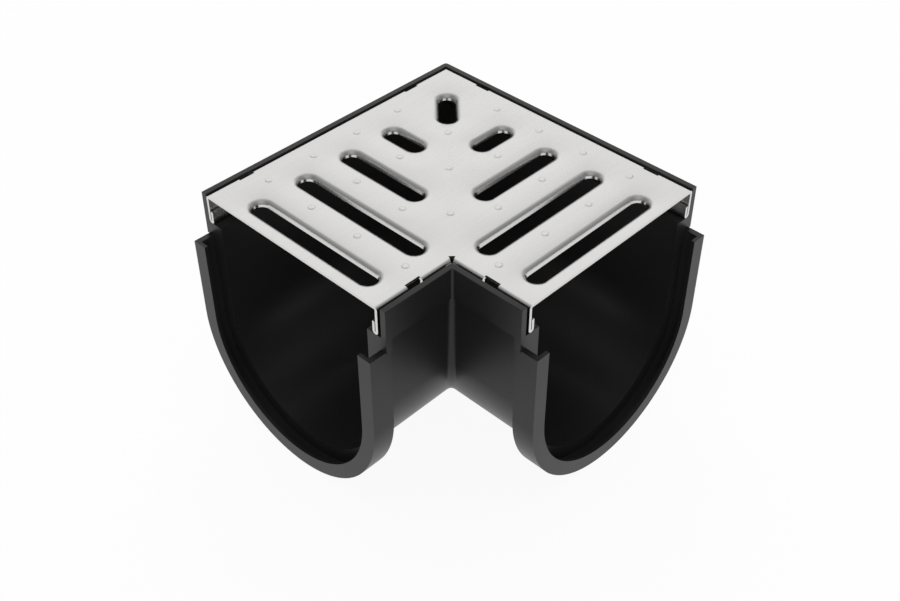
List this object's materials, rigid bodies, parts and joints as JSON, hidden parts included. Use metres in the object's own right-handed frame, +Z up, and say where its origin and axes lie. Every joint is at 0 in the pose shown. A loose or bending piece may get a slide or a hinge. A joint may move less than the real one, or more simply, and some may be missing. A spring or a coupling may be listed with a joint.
{
  "type": "storm drain grate with corner channel",
  "caption": "Right-angle corner of a round-bottomed surface drain with socket collars and a drop-in grate folded from slotted stainless sheet.",
  "frame": {"origin": "middle of the footprint, on the ground that the collars stand on", "axes": "+X and +Y point along the legs, out of their sockets; +Z up out of the ground"},
  "size_m": [0.1818, 0.1818, 0.1352],
  "materials": {
    "channel_plastic": "black moulded plastic with a soft satin sheen",
    "grate_steel": "fine brushed stainless sheet with bright cut edges"
  },
  "bodies": {
    "root": {"channel_corner": "channel_plastic", "slotted_grate": "grate_steel"}
  },
  "joints": []
}
